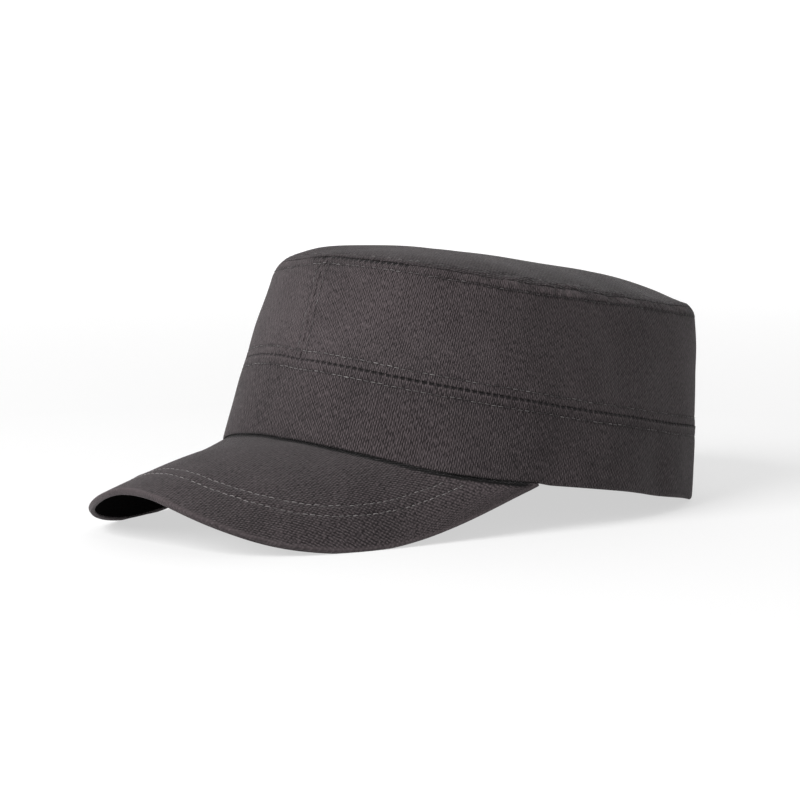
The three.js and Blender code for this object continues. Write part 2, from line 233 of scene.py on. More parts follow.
def top_dent(theta, out):
    """How far the dome is pushed down: a sum of bells round the head and out from the middle."""
    turn = (np.degrees(theta)[..., None] - TOP_FOLDS[:, 0] + 540) % 360 - 180
    bells = bell(turn, TOP_FOLDS[:, 1]) * bell(out[..., None] - TOP_FOLDS[:, 2], TOP_FOLDS[:, 3])
    return FOLD_DEPTH * (TOP_FOLDS[:, 4] * bells).sum(-1)


def dome_face(theta, out):
    """The dome, out being 1 at the shoulder: DOME_RISE times (1 - out to the DOME_POWER)."""
    theta, out = np.broadcast_arrays(theta, out)
    rim = wall_face(theta, edge_length(theta))
    slope = (LINES["edge"][-1] - LINES["edge"][0]) / TOP_LENGTH
    level = lambda y: LINES["edge"][6] + slope * (y - TOP_SETBACK)
    y = TOP_SETBACK + (rim[..., 1] - TOP_SETBACK) * out
    z = level(y) + (rim[..., 2] - level(rim[..., 1])) * out**2
    z = z + DOME_RISE * (1 - out**DOME_POWER) - top_dent(theta, out)
    return np.stack([rim[..., 0] * out, y, z], -1)


def top_face(theta, inward):
    """The top panel at millimetres inward from its seam: first the shoulder, then the dome."""
    theta, inward = np.broadcast_arrays(theta, inward)
    start = joint_length(theta)
    ledge = edge_length(theta) - start
    rim = wall_face(theta, edge_length(theta))
    radius = np.hypot(rim[..., 0], rim[..., 1] - TOP_SETBACK)
    out = 1 - np.clip((inward - ledge) / radius, 0, 1)
    on_ledge = (inward < ledge)[..., None]
    return np.where(on_ledge, wall_face(theta, start + inward), dome_face(theta, out))


print("top of the dome", dome_face(np.array([0.0]), np.array([0.0])).round(1))

# %% [markdown]
# The peak
#
# In plan the peak's outer edge is one smooth curve from its end to its front, a Bezier curve
# with a long pull at both ends. Straight lines run from the rim to that edge, and they drop
# more steeply at the sides than in front, which is what bends the peak round.

# %% The peak's face


def peak_root(s):
    """The rim's point where the peak is sewn on, s going from -1 (right end) to 1 (left end)."""
    return wall_face(np.radians(PEAK_HALF_ANGLE) * s, np.zeros_like(s))


def peak_edge(s):
    """The edge in plan: a cubic Bezier curve in the size of s, mirrored for negative s."""
    end = peak_root(np.array([1.0]))[0]
    turn = math.radians(PEAK_END_TURN)
    front = np.array([0, -BAND_LENGTH / 2 - PEAK_REACH, 0])
    held = [
        front,
        front + [PEAK_FRONT_PULL, 0, 0],
        end + PEAK_END_PULL * np.array([-math.sin(turn), -math.cos(turn), 0]),
        end,
    ]
    t = np.abs(s)[..., None]
    weights = ((1 - t) ** 3, 3 * t * (1 - t) ** 2, 3 * t**2 * (1 - t), t**3)
    point = sum(w * h for w, h in zip(weights, held))
    point[..., 0] *= np.where(s < 0, -1, 1)
    return point


def peak_span(s):
    """How far the peak reaches from the rim to its edge, in plan."""
    return np.linalg.norm((peak_edge(s) - peak_root(s))[..., :2], axis=-1)


def peak_face(s, across):
    """The upper face: a straight line from rim to edge, with a drop and a slight crowning.
    What the right side's rim is shifted by fades out on the way to the edge."""
    s, across = np.broadcast_arrays(s, across)
    root, edge, span = peak_root(s), peak_edge(s), peak_span(s)
    shifted = root[..., 2] - peak_root(np.abs(s))[..., 2]
    drop = PEAK_DROP_FRONT + (PEAK_DROP_END - PEAK_DROP_FRONT) * np.abs(s) ** PEAK_DROP_POWER
    rise = PEAK_CROWNING * span / PEAK_REACH * 4 * across * (1 - across)
    rise = rise - span * across * np.tan(np.radians(drop)) - shifted * across
    plan = root[..., :2] + (edge - root)[..., :2] * across[..., None]
    return np.concatenate([plan, (root[..., 2] + rise - PIECE_GAP)[..., None]], -1)


print("the peak's edge in front", peak_edge(np.array([0.0])).round(1))

# %% [markdown]
# Directions across a face
#
# Thickness, stitches and puckers all go square to the cloth. The direction comes from two
# short steps across the face: their cross product points straight out of it.

# %% Outward directions
PEAK_SOUND = 0.93


def unit(vectors):
    """Vectors divided by their own length."""
    return vectors / np.maximum(np.linalg.norm(vectors, axis=-1, keepdims=True), 1e-12)


def outward(face, u, v, step_u, step_v, tilt=0):
    """The unit cross product of a step along u and a step along v, plus a slight tilt."""
    du = face(u + step_u, v) - face(u - step_u, v)
    dv = face(u, v + step_v) - face(u, v - step_v)
    return unit(np.cross(du, dv) + tilt)


def wall_out(theta, length):
    """Straight out of the wall, from steps of 0.004 radians round it and 0.25 mm up it."""
    return outward(wall_face, theta, np.clip(length, 0.3, None), 0.004, 0.25)


def peak_down(s, across):
    """Down through the peak's cloth: square to its face, but upright where it meets the rim.
    Near its ends the peak is a point with no direction of its own, and takes its neighbour's."""
    s, across = np.broadcast_arrays(s, across)
    sound = np.clip(s, -PEAK_SOUND, PEAK_SOUND)
    normal = outward(peak_face, sound, np.clip(across, 0.05, 0.95), 0.01, 0.02)
    normal = normal * np.where(normal[..., 2:] > 0, -1, 1)
    distance = np.linalg.norm(peak_face(s, across) - peak_face(s, 0 * across), axis=-1)
    turned = (0.45 + 0.55 * np.clip(distance / PEAK_ROOT_LENGTH, 0, 1))[..., None]
    down = unit(np.array([0, 0, -1]) * (1 - turned) + normal * turned)
    true = np.maximum(0.6, (down * normal).sum(-1, keepdims=True))
    return down / true


# %% [markdown]
# Standing on a surface
#
# A cap put down on a table leans back until the lowest points of its peak and the back of its
# band touch. The lean is the steepest line from the back of the rim to the peak's lower edge.
# What would reach below the table is pressed flat, as the soft hem is.

# %% The lean
back_hem = wall_face(np.array([math.pi]), np.array([0.0]))[0] * [1, 1, 0]
low_s = np.linspace(0, 1, 43)
low_across = 1 - 0.7 / np.maximum(peak_span(low_s), 1.4)
low_edge = peak_face(low_s, low_across) + peak_down(low_s, low_across) * PEAK_DEPTH
LEAN = math.atan(np.max((-low_edge[:, 2] - 0.3) / (back_hem[1] - low_edge[:, 1])))
peak_front = peak_face(np.linspace(-0.2, 0.2, 9), np.ones(9))


def lean(point):
    """Turns points about the back of the rim by the lean."""
    y, z = point[..., 1] - back_hem[1], point[..., 2]
    turned_y = y * math.cos(LEAN) + z * math.sin(LEAN)
    turned_z = z * math.cos(LEAN) - y * math.sin(LEAN)
    return np.stack([point[..., 0], turned_y, turned_z], -1)


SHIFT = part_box("peak_upper")[0][1] * 1000 - lean(peak_front)[:, 1].min()


def stand(point):
    """Leans the cap, presses its lowest cloth flat and gives metres in the model's frame."""
    placed = lean(point) + [0, SHIFT, 0]
    placed[..., 2] = np.maximum(placed[..., 2], 0.0)
    return placed / 1000


print("the cap leans back by", round(math.degrees(LEAN), 2), "degrees; shift", round(SHIFT, 2), "mm")

# %% [markdown]
# What the needle does to the cloth
#
# A flat panel becomes a sewn one through small things: the cloth waves a little, it puckers
# along each seam, it sinks under each row of stitches, and it stands up where a second layer
# is folded under it. A sculptor would brush these in. Here each one is a formula in
# millimetres along the row and away from it, so it lands exactly on the stitches.
#
# Two panels that are sewn together share the slow waves of `soft` and the crumples beside the
# top's seam, or a gap would open between them. A seam doesn't look the same all round: it is
# plainest in front and on the left. `shown`, `top_open` and `crumpled` say how much of it is
# seen at each angle.

# %% Waves, puckers, grooves and folded edges
ROW_ABOVE, ROW_BELOW, ROW_TOP, ROW_FRONT = 3.4, 3.8, 3.6, 2.4
SEAM_FILL, SEAM_TURN, HEM_TURN, SEAM_GAP = 0.38, 0.25, 1.8, 0.06
WALL_GROOVE, FRONT_GROOVE, PEAK_GROOVE = 0.28, 0.18, 0.30
TOP_DASHES_END = 27
TURN = 2 * math.pi


def waves(u, v, size, seed, tall=1.0):
    """Soft waves: fourteen sine waves with seeded lengths, directions and starts, averaged."""
    rng = np.random.default_rng(seed)
    total = 0
    for _ in range(14):
        length, way, start = size * rng.uniform(0.6, 1.9), rng.uniform(0, TURN), rng.uniform(0, 9)
        across = u * math.cos(way) + v / tall * math.sin(way)
        total = total + np.sin(across * TURN / length + start)
    return total / 5.3


def soft(along, length):
    """The wall's own waves, the same for every panel, so that two sewn edges stay level."""
    return 0.28 * waves(along, length, 28, 3) + 0.38 * waves(along, length, 36, 4, tall=3.5)


def crumple(theta, away):
    """The crumples beside the top's seam, the same on both of its sides: blobs 2.2 mm from it."""
    blobs = waves(arc(theta), 0.8 * away, 5.5, 10) * bell(away - 2.2, 3.0)
    return crumpled(theta) * blobs


def puckers(along, away, size, seed):
    """Short waves along a seam that die out within a few millimetres of it."""
    return waves(along, away * 0.6, size, seed) * bell(away, 4.2)


def groove(along, away):
    """The dip under a row of stitches, deeper where the needle went through."""
    return bell(away, 0.62) * (0.8 + 0.2 * np.cos(TURN * along / STITCH))


def step(value, start, end):
    """0 before start, 1 after end, and a smooth S-curve between them."""
    t = np.clip((value - start) / (end - start), 0, 1)
    return t * t * (3 - 2 * t)


def scallop(along):
    """The edge of a seam between its stitches: 0 at a stitch, and close to 1 between two."""
    return 1 - (0.5 + 0.5 * np.cos(TURN * along / STITCH)) ** 2


def doubled(away, row, end=0.6):
    """1 where the seam's folded edge lies under the cloth, 0 from its row of stitches on."""
    return 1 - step(away, row - 0.5, row + end)


def lap(away, side_depth):
    """How far a seam's edge runs on under the surface, so that no light comes through it."""
    return side_depth * bell(away, 2.2)


def degrees_round(theta):
    """The angle in degrees, from -180 at the back over 0 in front to 180."""
    return np.degrees((theta + math.pi) % TURN - math.pi)


def shown(theta, start, end, low):
    """How plainly a seam shows round the head: low up to one angle, 1 from another one on."""
    return low + (1 - low) * step(degrees_round(theta), start, end)


def top_open(theta):
    """The top's seam is pulled open only near the front, on the left, and closed further on."""
    turn, end = degrees_round(theta), TOP_DASHES_END
    return 0.12 + 0.88 * step(turn, -7, -3) * (1 - step(turn, end - 2, end + 3))


def crumpled(theta):
    """How much the top's seam is crumpled: most on the left side, where a hand takes hold."""
    turn = degrees_round(theta)
    return 0.14 + 0.62 * bell(turn - 76, 32) + 0.25 * bell(turn + 90, 50)


print("stitches every", STITCH, "mm, rows", ROW_ABOVE, "mm above and", ROW_BELOW, "mm below the seam")

# %% [markdown]
# From a grid of points to a piece of cloth
#
# Every panel is an outer and an inner face that meet in a round edge, so its cross-section is
# one closed loop. The grid of points then holds that loop in its rows, and the way round the
# head in its columns. Neighbouring points make the faces, and points that fall together, as
# at the middle of the top, are merged. The weave is laid out in metres in the UV map.

# %% Panels as closed grids
BAND_COLUMNS, SIDE_COLUMNS, TOP_COLUMNS, UPPER_COLUMNS, UNDER_COLUMNS = 840, 396, 640, 540, 300
FINE_ROWS, COARSE_ROWS = 0.72, 1.6


def round_edge(reach, count=6):
    """Distances from an edge that are close together where it bends: reach times 1 - cosine."""
    return reach * (1 - np.cos(np.linspace(0, math.pi / 2, count)))


def spread(start, end, spacing):
    """Evenly spread values from start to end, both included, about a spacing apart."""
    return np.linspace(start, end, max(2, int(round((end - start) / spacing)) + 1))


def thickness(away, reach):
    """Half a rounded edge: 0 at the edge, 1 from reach inwards, an ellipse between them."""
    return np.sqrt(np.clip(1 - (1 - np.clip(away / reach, 0, 1)) ** 2, 0, 1))


def add_object(name, mesh):
    """A new object for a smooth mesh, linked to the scene at the origin."""
    mesh.shade_smooth()
    thing = bpy.data.objects.new(name, mesh)
    bpy.context.scene.collection.objects.link(thing)
    return thing


def store(mesh, mark, values):
    """Keeps one number at each point of a mesh, for the finish to read."""
    layer = mesh.attributes.new(mark, "FLOAT", "POINT")
    layer.data.foreach_set("value", values.astype(np.float32).ravel())


def cloth_piece(name, points, weave, marks, ring=True, skip=None, caps=False):
    """Makes a mesh from points [row, column, xyz]: the rows close up, and so do the columns of
    a ring. It leaves out the faces of the row skip, and caps close a loop's two ends. Faces
    are turned round where the volume that they enclose comes out below 0."""
    rows, columns = points.shape[:2]
    span = columns if ring else columns - 1
    i, j = np.meshgrid(np.arange(rows), np.arange(span), indexing="ij")
    if skip is not None:
        i, j = np.delete(i, skip, 0), np.delete(j, skip, 0)
    i, j = i.ravel(), j.ravel()
    row = np.stack([i, i, i + 1, i + 1], 1)
    column = np.stack([j, j + 1, j + 1, j], 1)
    if caps:
        k = np.arange(rows // 2 - 1)
        loop = np.stack([k, k + 1, rows - 2 - k, rows - 1 - k], 1)
        row = np.concatenate([row, loop, loop[:, ::-1]])
        column = np.concatenate([column, 0 * loop, 0 * loop + columns - 1])
    corners = (row % rows) * columns + column % columns
    flat = points.reshape(-1, 3)
    a, b, c, d = (flat[corners[:, k]] for k in range(4))
    volume = (np.cross(b, c) * a).sum() + (np.cross(c, d) * a).sum()
    if volume < 0:
        corners, row, column = corners[:, ::-1], row[:, ::-1], column[:, ::-1]
    mesh = bpy.data.meshes.new(name)
    mesh.from_pydata(flat.tolist(), [], corners.tolist())
    uv = weave[(row % rows).ravel(), column.ravel()]
    mesh.uv_layers.new(name="weave").data.foreach_set("uv", uv.astype(np.float32).ravel())
    for mark, values in marks.items():
        store(mesh, mark, values)
    work = bmesh.new()
    work.from_mesh(mesh)
    bmesh.ops.remove_doubles(work, verts=work.verts, dist=2e-6)
    loose = [edge for edge in work.edges if not edge.link_faces]
    bmesh.ops.delete(work, geom=loose, context="EDGES")
    open_edges = sum(len(edge.link_faces) != 2 for edge in work.edges)
    work.to_mesh(mesh)
    work.free()
    piece = add_object(name, mesh)
    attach(piece, "root")
    print(name, "has", len(mesh.polygons), "faces,", open_edges, "open edges")
    return piece


def wall_loop(height, low, high, spacing_out, spacing_in):
    """A wall panel's loop of rows: shares of its height, millimetres on top of that, and the
    side, 0 outside and 1 inside. Rows are close together round the edges low and high, and
    spread between them. The inside runs back down, and both sides share the end rows."""
    faces = []
    for spacing in (spacing_out, spacing_in):
        middle = spread(0, 1, spacing / height)[1:-1]
        share = np.concatenate([0 * low, middle, 0 * high + 1])
        extra = np.concatenate([low, low[-1] - (low[-1] + high[-1]) * middle, -high[::-1]])
        faces.append((share, extra, 0 * share))
    return [np.concatenate([outer, (inner + k)[-2:0:-1]])[:, None]
            for outer, inner, k in zip(*faces, (0, 0, 1))]


print("a round edge of 1 mm has rows at", round_edge(1.0).round(2))

# %% [markdown]
# The band
#
# The band goes round the head from the hem to the seam. Its upper edge is folded in and
# stands a little proud of the crown, and its hem is folded and rounded. Under that edge the
# layers of the seam fill most of the dip that a single cloth would have. Between two stitches
# the edge sinks back a little, and there the seam gets painted shadow. A gap that fine would need far
# more points, so a mark on the mesh only says where the seam is, and the finish paints the shadow
# between the stitches. The folded top edge gets a painted highlight, and the hem a painted shadow
# where it hangs over the peak.

# %% The band's cloth
FULL_TURN = np.linspace(-math.pi, math.pi, BAND_COLUMNS, endpoint=False)
BAND_TALL = 30


def band_relief(theta, length):
    """How far the band's cloth stands out: waves, puckers, a folded edge and one groove."""
    along, below = arc(theta), seam_length(theta) - length
    lift = soft(along, length) + 0.10 * puckers(along, below - 2.2, 8, 5)
    folded = 0.17 * doubled(below, ROW_BELOW)
    folded = folded + 0.24 * bell(below - 0.4, 1.0) * (1 - 0.5 * scallop(along))
    lift = lift + SEAM_FILL * bell(below, SEAM_WIDTH) + folded * shown(theta, -35, 0, 0.25)
    return lift - WALL_GROOVE * groove(along, below - ROW_BELOW)


def band_point(theta, share, extra, side):
    """A point of the band: half the cloth's thickness to one side of its middle face, with
    the seam's edge drawn in between stitches, and the hem's inside drawn up over the peak."""
    height = seam_length(theta) - SEAM_GAP
    length = share * height + extra
    turn = SEAM_TURN * shown(theta, -30, 10, 0.4)
    half = WALL_CLOTH / 2 * thickness(height - length, turn) * thickness(length, HEM_TURN)
    depth = WALL_CLOTH / 2 - half * (1 - 2 * side)
    drawn_in = 0.34 * scallop(arc(theta)) * bell(height - length, 0.7)
    over_peak = step(PEAK_HALF_ANGLE + 4 - np.abs(np.degrees(theta)), 0, 6)
    placed = length + lap(height - length, depth) - drawn_in * shown(theta, -20, 40, 0.4)
    placed = placed + 0.8 * depth * bell(length, 1.6) * over_peak
    lift = band_relief(theta, length) - depth
    return wall_face(theta, placed) + wall_out(theta, length) * lift[..., None], length


theta = FULL_TURN[None, :]
hem, seam = round_edge(HEM_TURN, 8), round_edge(SEAM_TURN)
share, extra, side = wall_loop(BAND_TALL, hem, seam, FINE_ROWS, COARSE_ROWS)
points, length = band_point(theta, share, extra, side)
along = arc(np.append(FULL_TURN, math.pi))[None, :]
weave = np.stack(np.broadcast_arrays(along, length[:, :1]), -1) / 1000
below = seam_length(theta) - length
over_peak = step(PEAK_HALF_ANGLE - np.abs(np.degrees(theta)), -1, 3)
marks = {
    # painted shadow under the hem where it hangs over the peak, and painted shade in the groove under
    # the row of stitches
    "painted_shade": 1.8 * bell(length, 0.6) * over_peak + 0.30 * bell(below - ROW_BELOW, 0.45),
    # painted shadow in the gaps of the seam between its stitches
    "painted_gap_shadow": 1.2 * bell(below, 0.38) * shown(theta, -25, 45, 0.45),
    # a painted highlight on the band's folded top edge, just below the seam
    "wear_and_painted_light": 1.3 * bell(below - 1.0, 0.5),
}
band = cloth_piece("band_cloth", stand(points), weave, marks)
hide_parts("band")

# %% [markdown]
# The two side panels
#
# The crown's wall is two panels, sewn together in front and at the back, with a row of
# stitches on either side of each of these seams. Each panel is the same wall as the band's,
# higher up, and it bends over the shoulder to meet the top. One function makes both, because
# the right one is the left one with its angles below 0.

# %% The side panels' cloth
SIDE_TALL, MIDDLE_GAP, MIDDLE_TURN = 52, 0.05, 0.3


def theta_at(x, share):
    """The angle whose wall point is x millimetres from the middle, near the front or the back."""
    half_width = (BAND_WIDTH + (TOP_WIDTH - BAND_WIDTH) * share) / 2
    return np.arcsin((np.abs(x) / half_width / (1 - EGG_SHAPE)) ** (OVAL_POWER / 2))


near_seam = np.concatenate([MIDDLE_GAP + round_edge(MIDDLE_TURN), np.arange(0.8, 10, 0.6)])
near_seam = np.concatenate([[0], theta_at(near_seam[1:], 0.5)])
HALF_TURN = np.concatenate([
    near_seam,
    np.linspace(near_seam[-1], math.pi - near_seam[-1], SIDE_COLUMNS)[1:-1],
    math.pi - near_seam[::-1],
])


def side_relief(theta, length, x):
    """How far the side's cloth stands out, from the distances to its three seams."""
    along, above = arc(theta), length - seam_length(theta)
    to_top, to_middle = joint_length(theta) - length, np.abs(x)
    lift = soft(along, length) + 0.10 * puckers(along, above - 1.8, 8, 9)
    lift = lift + crumple(theta, to_top)
    lift = lift + 0.12 * puckers(length, to_middle - 1.2, 7, 11)
    lift = lift + 0.14 * doubled(above, ROW_ABOVE) + 0.20 * doubled(to_top, ROW_TOP)
    lift = lift + 0.12 * doubled(to_middle, ROW_FRONT, 0.5)
    sunk = 0.24 * bell(above, 0.7) + 0.18 * top_open(theta) * bell(to_top, 0.8)
    lift = lift - sunk * scallop(along)
    lift = lift + SEAM_FILL * bell(above, SEAM_WIDTH)
    rows = groove(along, above - ROW_ABOVE) + groove(along, to_top - ROW_TOP)
    return lift - WALL_GROOVE * rows - FRONT_GROOVE * groove(length, to_middle - ROW_FRONT)


def side_point(theta, share, extra, side):
    """A point of a side panel, with round edges along all four of its sides."""
    start, end = seam_length(theta) + SEAM_GAP, joint_length(theta) - SEAM_GAP
    length = start + share * (end - start) + extra
    middle = wall_face(theta, length)
    to_middle = np.maximum(np.abs(middle[..., 0]) - MIDDLE_GAP, 0)
    half = thickness(length - start, SEAM_TURN * shown(theta, -30, 10, 0.4))
    half = half * thickness(end - length, SEAM_TURN * (0.3 + 0.7 * top_open(theta)))
    half = half * thickness(to_middle, MIDDLE_TURN)
    depth = WALL_CLOTH / 2 - WALL_CLOTH / 2 * half * (1 - 2 * side)
    placed = length + lap(length - start, depth) + lap(end - length, depth)
    lift = side_relief(theta, length, middle[..., 0]) - depth
    point = wall_face(theta, placed) + wall_out(theta, length) * lift[..., None]
    point[..., 0] = np.where(theta < 0, -1, 1) * np.maximum(np.abs(point[..., 0]), MIDDLE_GAP)
    point[..., 0] += lap(to_middle, depth)
    return point, length, to_middle


share, extra, side = wall_loop(SIDE_TALL, seam, seam, FINE_ROWS, FINE_ROWS)
sides = (("side_left_cloth", "crown_side_left", 1), ("side_right_cloth", "crown_side_right", -1))
for name, node, hand in sides:
    theta = hand * np.maximum(HALF_TURN, 1e-9)[None, :]
    points, length, to_middle = side_point(theta, share, extra, side)
    weave = np.stack([arc(theta) + 0 * length, length], -1) / 1000
    above, to_top = length - seam_length(theta), joint_length(theta) - length
    marks = {
        # painted shade in the front and back seams and in the grooves under the rows of stitches
        "painted_shade": 0.15 * bell(to_middle, 0.4) + 0.20 * bell(to_middle - ROW_FRONT, 0.4)
        + 0.30 * bell(above - ROW_ABOVE, 0.45)
        + shown(theta, 30, 50, 0.4) * 0.75 * bell(to_top - ROW_TOP, 0.45),
        # painted shadow in the gaps of the seams between their stitches
        "painted_gap_shadow": 1.1 * bell(above, 0.32) * shown(theta, -25, 45, 0.4)
        + 1.4 * step(top_open(theta), 0.1, 0.6) * bell(to_top, 1.25),
        # lighter just inside the top seam and the middle seam; painted highlight on the crumples'
        # ridges and painted shade in their hollows
        "wear_and_painted_light": 0.3 * bell(to_top - 1.2, 1.0) + 0.3 * bell(to_middle - 1.2, 0.8)
        + 2.2 * crumple(theta, to_top),
    }
    panel = cloth_piece(name, stand(points), weave, marks, ring=False)
    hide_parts(node)

# %% [markdown]
# The top
#
# The top is cut as an oval with the grain running from front to back, so its weave follows
# plain plan measures and not the way round. It dips at its seam and rises to a flat dome. Its
# rows of points run from the seam to the middle, where they all meet in one, and back along
# the inside. On the left, where it turns down to the side, the cloth gets painted shade.

# %% The top's cloth


def top_span(theta):
    """Millimetres from the top's seam over the shoulder to the middle of the dome."""
    rim = wall_face(theta, edge_length(theta))
    ledge = edge_length(theta) - joint_length(theta)
    return ledge + np.hypot(rim[..., 0], rim[..., 1] - TOP_SETBACK)


def top_relief(theta, inward, plan):
    """How far the top's cloth stands out: the wall's waves near the seam and its own over the
    plan further in, crumples, a folded edge and one groove."""
    along, inside = arc(theta), step(inward, 0, 16)
    lift = 0.50 * waves(plan[..., 0], plan[..., 1], 42, 12) * inside
    lift = lift + soft(along, joint_length(theta) + inward) * (1 - inside)
    lift = lift + crumple(theta, inward) + 0.20 * doubled(inward, ROW_TOP)
    lift = lift - 0.20 * top_open(theta) * bell(inward, 0.8) * scallop(along)
    return lift - WALL_GROOVE * groove(along, inward - ROW_TOP)


def top_normal(theta, inward):
    """Square to the top's face, and straight up where the rows meet in the middle."""
    return outward(top_face, theta, inward, 0.004, 0.25, [0, 0, 1e-3])


def top_point(theta, share, extra, side):
    """A point of the top: half the cloth's thickness to one side of its middle face."""
    inward = share * top_span(theta) + extra
    middle, normal = top_face(theta, inward), top_normal(theta, inward)
    turn = SEAM_TURN * (0.3 + 0.7 * top_open(theta))
    half = TOP_CLOTH / 2 * thickness(inward - SEAM_GAP, turn)
    depth = TOP_CLOTH / 2 - half * (1 - 2 * side)
    placed = top_face(theta, inward + lap(inward, depth))
    return placed + normal * (top_relief(theta, inward, middle) - depth)[..., None], inward


def top_rows(near, count):
    """Shares of the span and millimetres on top of that: rows near the seam, then even ones."""
    far = spread(0, 1, 1 / count)[1:]
    return np.array([np.append(0 * near, far), np.append(near, near[-1] * (1 - far))])


theta = np.linspace(-math.pi, math.pi, TOP_COLUMNS, endpoint=False)[None, :]
near = np.append(SEAM_GAP + round_edge(SEAM_TURN), np.arange(0.9, 11, 0.6))
outside = top_rows(near, 46)
inside = top_rows(np.array([near[0], 0.4, 0.8, 2.5, 5, 8]), 26)[:, :0:-1]
share, extra = np.append(outside, inside, 1)[..., None]
side = np.append(0 * outside[0], 0 * inside[0] + 1)[:, None]
points, inward = top_point(theta, share, extra, side)
poles = [outside.shape[1] - 1, outside.shape[1]]
points[poles] = points[poles].mean(1, keepdims=True)
weave = np.append(points[..., :2], points[:, :1, :2], 1) / 1000
# painted shade on the left, where the top turns down to the side
shaded = bell(degrees_round(theta) - 90, 48) * (1 - step(inward, 8, 45))
marks = {
    # painted shadow in the open seam between its stitches, and painted shade under the row of stitches
    "painted_shade": top_open(theta) * bell(inward, 0.6) * scallop(arc(theta)) ** 2
    + 0.30 * bell(inward - ROW_TOP, 0.45) + 0.30 * shaded,
    # lighter just inside the seam; painted highlight on the crumples' ridges and painted shade in
    # their hollows
    "wear_and_painted_light": 0.3 * bell(inward - 1.6, 1.1) + 2.2 * crumple(theta, inward),
}
top = cloth_piece("top_cloth", stand(points), weave, marks, skip=poles[0])
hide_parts("crown_top")

# %% [markdown]
# The peak
#
# Two rows of lighter stitches run round the peak, some 16 mm in from its edge and 5 to 7 mm
# apart. They lie between its rim and its edge, and not at a fixed height, so a place on the
# peak is given here by how far round it is and how many millimetres it is from the edge.

# %% The peak's stitch rows and relief
ROW_AT = [0, 0.1, 0.2, 0.3, 0.4, 0.5, 0.6, 0.7, 1]
ROW_FROM_EDGE = [15.4, 16.8, 16.9, 16.3, 16.1, 16.1, 16.7, 17.5, 17.6]
ROW_APART = [5.5, 5.1, 5.0, 5.3, 5.4, 5.8, 7.2, 6.9, 7.0]
EVENED = 0.07


def peak_row(s, inner):
    """Millimetres from the edge to the outer row of stitches, or to the inner one: the mean
    of five readings of the table, which rounds off its corners, plus how far apart they are."""
    near = [np.interp(np.abs(s + k), ROW_AT, ROW_FROM_EDGE) for k in (-0.08, -0.04, 0, 0.04, 0.08)]
    return sum(near) / 5 + inner * np.interp(np.abs(s), ROW_AT, ROW_APART)


def peak_at(s, from_edge, depth=0.0):
    """A point of the peak by its distance from the edge, and from the rim inwards beyond it.
    In the very middle the drop is evened out, so that the two halves don't meet in a crease."""
    span = peak_span(s)
    across = 1 - from_edge / span
    under_hem, across = np.maximum(-across, 0) * span, np.maximum(across, 0)
    size = np.abs(s)
    evened = size + np.maximum(EVENED - size, 0) ** 2 / (2 * EVENED)
    sag = math.radians(PEAK_DROP_END - PEAK_DROP_FRONT) * span * across
    sag = sag * (evened**PEAK_DROP_POWER - size**PEAK_DROP_POWER)
    point = peak_face(s, across)
    point[..., :2] *= 1 - (under_hem / np.hypot(point[..., 0], point[..., 1]))[..., None]
    point[..., 2] += 0.8 * under_hem - sag
    return point + peak_down(s, across) * np.asarray(depth)[..., None]


fine_s = np.linspace(-0.95, 0.95, 1901)
row_paths = [peak_at(fine_s, peak_row(fine_s, inner)) for inner in (0, 1)]
row_length = [np.concatenate([[0], np.cumsum(np.linalg.norm(np.diff(path, axis=0), axis=1))])
              for path in row_paths]


def peak_waves(_s, _from_edge, plan):
    """The peak's slow waves, the same for both of its layers: they depend on the plan alone."""
    return 0.38 * waves(plan[..., 0], plan[..., 1], 46, 15)


def peak_relief(s, from_edge, plan):
    """How far the peak's cloth stands out: waves, two grooves, puckers between them."""
    lift = peak_waves(s, from_edge, plan)
    for inner in (0, 1):
        along = np.interp(s, fine_s, row_length[inner])
        lift = lift - PEAK_GROOVE * groove(along, from_edge - peak_row(s, inner))
    between = from_edge - peak_row(s, 0.5)
    return lift + 0.10 * puckers(along, between, 9, 16) + 0.12 * bell(between, 2.0)


print("stitch rows on the peak are", [round(v[-1]) for v in row_length], "mm long")

# %% [markdown]
# Two layers round a core
#
# The peak's upper cloth is drawn over a stiff core and turned round its edge, and a second
# cloth closes it from below; that one is coloured near black as painted shade, for the shadow
# under the peak. Solidify could thicken a face, but the rolled edge isn't the same on both
# sides. So the cross-section is drawn as a list of stretches: across the face, round the upper
# corner, down the edge, round the lower corner, and back inside. Each stretch is a share of the
# way in, millimetres on top of that, and a depth below the face. At the ends of the peak the
# section shrinks to a point, and all of it reaches a little way under the hem.

# %% The peak's two layers
LIP, LIP_DEPTH, UNDER_LIP, UNDER_GAP, TONGUE = 1.6, 2.45, 0.7, 0.28, 1.7
UPPER_END, UNDER_END, UNDER_THIN = 0.998, 0.94, 0.08
turn = np.linspace(0, math.pi / 2, 6)
sine, cosine = np.sin(turn), np.cos(turn)


def peak_layer(s, parts, relief, top=0.0, full=1.0):
    """Carries a cross-section round the peak. It gives the points, the plain face, distances
    from the edge and depths; full, below 1, thins the layer towards its upper face, at top."""
    rows = zip(*[np.broadcast_arrays(*part) for part in parts])
    share, extra, depth = (np.concatenate(values)[:, None] for values in rows)
    if len(share) % 2:
        share, extra, depth = (np.concatenate([v[:1], v]) for v in (share, extra, depth))
        extra[1] = TONGUE / 2
    span = peak_span(s)
    small = np.minimum(1, span / PEAK_ROOT_LENGTH)
    from_edge = share * span + extra * np.where(share < 1, small, 1)
    from_edge = np.minimum(from_edge, span + TONGUE)
    flat = peak_at(s, from_edge)
    lift = relief(s, from_edge, flat) * small * step(span - from_edge, -0.5, 3)
    depth = top + (depth - top) * full
    points = peak_at(s, from_edge, depth * (0.03 + 0.97 * small) - lift)
    return points, flat, from_edge, depth


